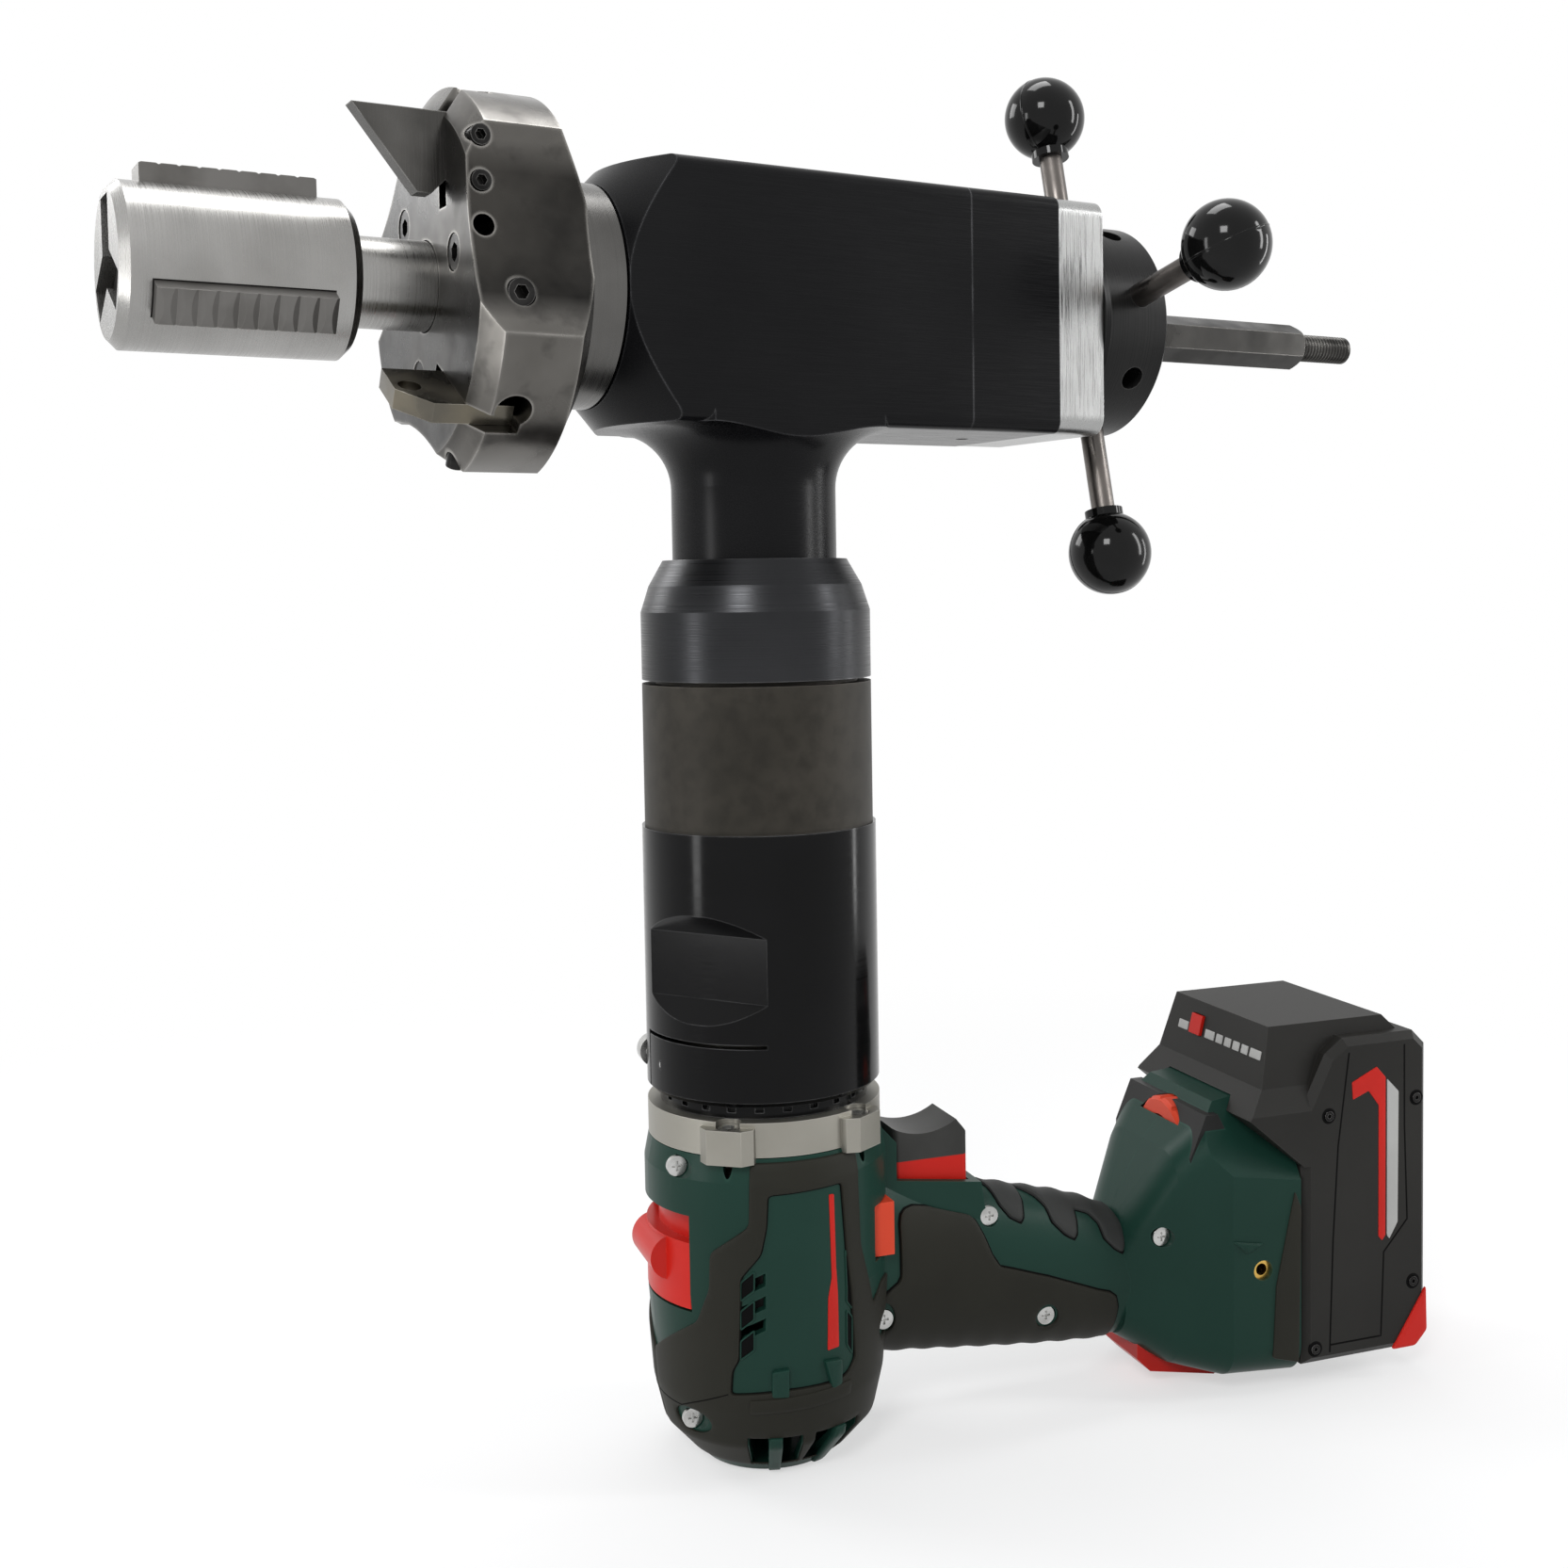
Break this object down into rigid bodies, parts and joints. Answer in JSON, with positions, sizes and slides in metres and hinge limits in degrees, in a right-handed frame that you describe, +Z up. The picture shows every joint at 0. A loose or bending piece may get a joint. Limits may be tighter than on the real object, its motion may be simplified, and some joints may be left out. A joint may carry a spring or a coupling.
{
  "type": "pipe beveling machine",
  "caption": "Portable pipe beveling machine: an expanding mandrel grips the bore, and a cordless motor turns a lobed cutter head through bevel and planetary gears.",
  "frame": {"origin": "centre of the mandrel's grip, on the main axis, where the machine is held in a pipe", "axes": "+X runs back along the main axis from the pipe to the feed hub, +Z is up, and the motor column hangs down along -Z at x = 0.158 m"},
  "size_m": [0.4426, 0.1818, 0.4529],
  "materials": {
    "mandrel_steel": "satin ground",
    "draw_steel": "oiled dark steel",
    "grip_steel": "hardened, matt",
    "black_anodised": "satin black anodised",
    "bright_plate": "brushed",
    "screw_black": "black oxide",
    "bearing_steel": "polished",
    "spindle_steel": "satin turned",
    "gear_steel": "hardened, oiled",
    "head_steel": "worn black oxide",
    "tool_steel": "ground",
    "carbide": "coated",
    "lever_steel": "dark satin",
    "ball_black": "gloss black",
    "collar_grey": "satin dark grey",
    "sleeve_brown": "phosphated",
    "adaptor_black": "gloss black",
    "cast_grey": "cast",
    "casing_green": "fine textured",
    "soft_grip": "moulded soft grip",
    "zinc": "zinc plated",
    "copper": "wound copper and laminations",
    "nylon_black": "moulded",
    "signal_red": "moulded",
    "signal_orange": "moulded",
    "brass_insert": "turned",
    "battery_black": "moulded",
    "cell_steel": "sleeved cells"
  },
  "bodies": {
    "mandrel": {"mandrel_body": "mandrel_steel"},
    "draw_rod": {"draw_rod": "draw_steel"},
    "draw_nut": {"draw_nut": "draw_steel"},
    "housing": {"main_housing": "black_anodised", "rear_housing": "black_anodised", "rear_plate": "bright_plate", "housing_screws": "screw_black", "torsion_keys": "gear_steel", "spindle_bearings": "bearing_steel", "column_bearings": "bearing_steel", "collar_nut": "collar_grey", "gear_sleeve": "sleeve_brown", "adaptor_sleeve": "adaptor_black", "clamp_screw": "zinc", "gear_cartridge": "cast_grey", "gear_case": "cast_grey", "gear_case_screws": "zinc", "torque_ring": "adaptor_black", "shell_right": "casing_green", "shell_left": "casing_green", "shell_screws": "zinc", "motor_overmould": "soft_grip", "grip_overmould": "soft_grip", "motor_stator": "copper", "switch_module": "nylon_black", "wheel_bracket": "nylon_black", "hook_insert": "brass_insert", "foot_clip": "signal_red"},
    "feed_hub": {"feed_hub": "draw_steel", "hub_retainer": "gear_steel", "feed_levers": "lever_steel", "ball_knobs": "ball_black"},
    "spindle": {"spindle": "spindle_steel", "bevel_gear": "gear_steel", "spindle_lock_ring": "gear_steel", "cutter_head": "head_steel", "head_screws": "screw_black", "bevel_tool_bit": "tool_steel", "facing_tool_bit": "carbide", "tool_set_screws": "screw_black"},
    "pinion": {"bevel_pinion": "gear_steel", "planet_carrier": "gear_steel"},
    "drive": {"sun_shaft": "gear_steel", "drill_spindle": "gear_steel"},
    "rotor": {"motor_rotor": "copper", "motor_fan": "nylon_black"},
    "trigger": {"trigger": "nylon_black"},
    "direction_button": {"direction_button": "signal_orange"},
    "gear_selector": {"gear_selector": "signal_red"},
    "torque_wheel": {"torque_wheel": "signal_orange"},
    "battery": {"battery_case": "battery_black", "battery_cells": "cell_steel", "battery_bumpers": "signal_red"},
    "charge_button": {"charge_button": "signal_red"},
    "block_1": {"mandrel_block_1": "grip_steel"},
    "planet_1": {"reducer_planet_1": "gear_steel"},
    "block_2": {"mandrel_block_2": "grip_steel"},
    "planet_2": {"reducer_planet_2": "gear_steel"},
    "block_3": {"mandrel_block_3": "grip_steel"},
    "planet_3": {"reducer_planet_3": "gear_steel"}
  },
  "joints": [
    {"name": "draw_nut_turn", "type": "hinge", "parent": "mandrel", "child": "draw_nut", "pos_m": [0.301, 0, 0], "axis": [1, 0, 0], "range_deg": [0, 1441]},
    {"name": "draw_rod_slide", "type": "slide", "parent": "mandrel", "child": "draw_rod", "axis": [1, 0, 0], "range_m": [-0.006, 0]},
    {"name": "feed_slide", "type": "slide", "parent": "mandrel", "child": "housing", "axis": [1, 0, 0], "range_m": [-0.018, 0.012]},
    {"name": "feed_hub_turn", "type": "hinge", "parent": "housing", "child": "feed_hub", "pos_m": [0.28534, 0, 0], "axis": [1, 0, 0], "range_deg": [-2600, 1735]},
    {"name": "head_spin", "type": "hinge", "parent": "housing", "child": "spindle", "pos_m": [0.158, 0, 0], "axis": [1, 0, 0], "continuous": true},
    {"name": "pinion_turn", "type": "hinge", "parent": "housing", "child": "pinion", "pos_m": [0.158, 0, 0], "axis": [0, 0, 1], "continuous": true},
    {"name": "drive_turn", "type": "hinge", "parent": "housing", "child": "drive", "pos_m": [0.158, 0, 0], "axis": [0, 0, 1], "continuous": true},
    {"name": "rotor_turn", "type": "hinge", "parent": "housing", "child": "rotor", "pos_m": [0.158, 0, 0], "axis": [0, 0, 1], "continuous": true},
    {"name": "trigger_press", "type": "slide", "parent": "housing", "child": "trigger", "axis": [0, 0, -1], "range_m": [0, 0.0065], "stiffness_N_per_m": 700, "springref_m": -0.004},
    {"name": "direction_shift", "type": "slide", "parent": "housing", "child": "direction_button", "axis": [-0.1736, -0.9848, 0], "range_m": [-0.0025, 0.0025]},
    {"name": "gear_shift", "type": "slide", "parent": "housing", "child": "gear_selector", "axis": [0, 0, 1], "range_m": [0, 0.008]},
    {"name": "torque_wheel_turn", "type": "hinge", "parent": "housing", "child": "torque_wheel", "pos_m": [0.30414, -0.02577, -0.2817], "axis": [0.9848, -0.1736, 0], "range_deg": [-150, 150]},
    {"name": "battery_slide", "type": "slide", "parent": "housing", "child": "battery", "axis": [0, 0, 1], "range_m": [0, 0.06]},
    {"name": "charge_button_press", "type": "slide", "parent": "battery", "child": "charge_button", "axis": [0.9554, -0.1685, -0.2425], "range_m": [0, 0.0008], "stiffness_N_per_m": 300, "springref_m": -0.0006},
    {"name": "block_1_slide", "type": "slide", "parent": "mandrel", "child": "block_1", "axis": [0, 0, 1], "range_m": [-0.0011, 0]},
    {"name": "planet_1_turn", "type": "hinge", "parent": "pinion", "child": "planet_1", "pos_m": [0.176, 0, -0.1295], "axis": [0, 0, 1], "continuous": true},
    {"name": "block_2_slide", "type": "slide", "parent": "mandrel", "child": "block_2", "axis": [0, -0.866, -0.5], "range_m": [-0.0011, 0]},
    {"name": "planet_2_turn", "type": "hinge", "parent": "pinion", "child": "planet_2", "pos_m": [0.149, 0.01559, -0.1295], "axis": [0, 0, 1], "continuous": true},
    {"name": "block_3_slide", "type": "slide", "parent": "mandrel", "child": "block_3", "axis": [0, 0.866, -0.5], "range_m": [-0.0011, 0]},
    {"name": "planet_3_turn", "type": "hinge", "parent": "pinion", "child": "planet_3", "pos_m": [0.149, -0.01559, -0.1295], "axis": [0, 0, 1], "continuous": true}
  ],
  "couplings": [
    {"joint": "draw_nut_turn", "follows": "draw_rod_slide", "rad_per_m": -4188.8},
    {"joint": "feed_hub_turn", "follows": "feed_slide", "rad_per_m": 2513.3},
    {"joint": "pinion_turn", "follows": "head_spin", "ratio": 2},
    {"joint": "drive_turn", "follows": "head_spin", "ratio": 8},
    {"joint": "rotor_turn", "follows": "head_spin", "ratio": 32},
    {"joint": "block_1_slide", "follows": "draw_rod_slide", "ratio": 0.17633},
    {"joint": "planet_1_turn", "follows": "head_spin", "ratio": -6},
    {"joint": "block_2_slide", "follows": "draw_rod_slide", "ratio": 0.17633},
    {"joint": "planet_2_turn", "follows": "head_spin", "ratio": -6},
    {"joint": "block_3_slide", "follows": "draw_rod_slide", "ratio": 0.17633},
    {"joint": "planet_3_turn", "follows": "head_spin", "ratio": -6}
  ]
}
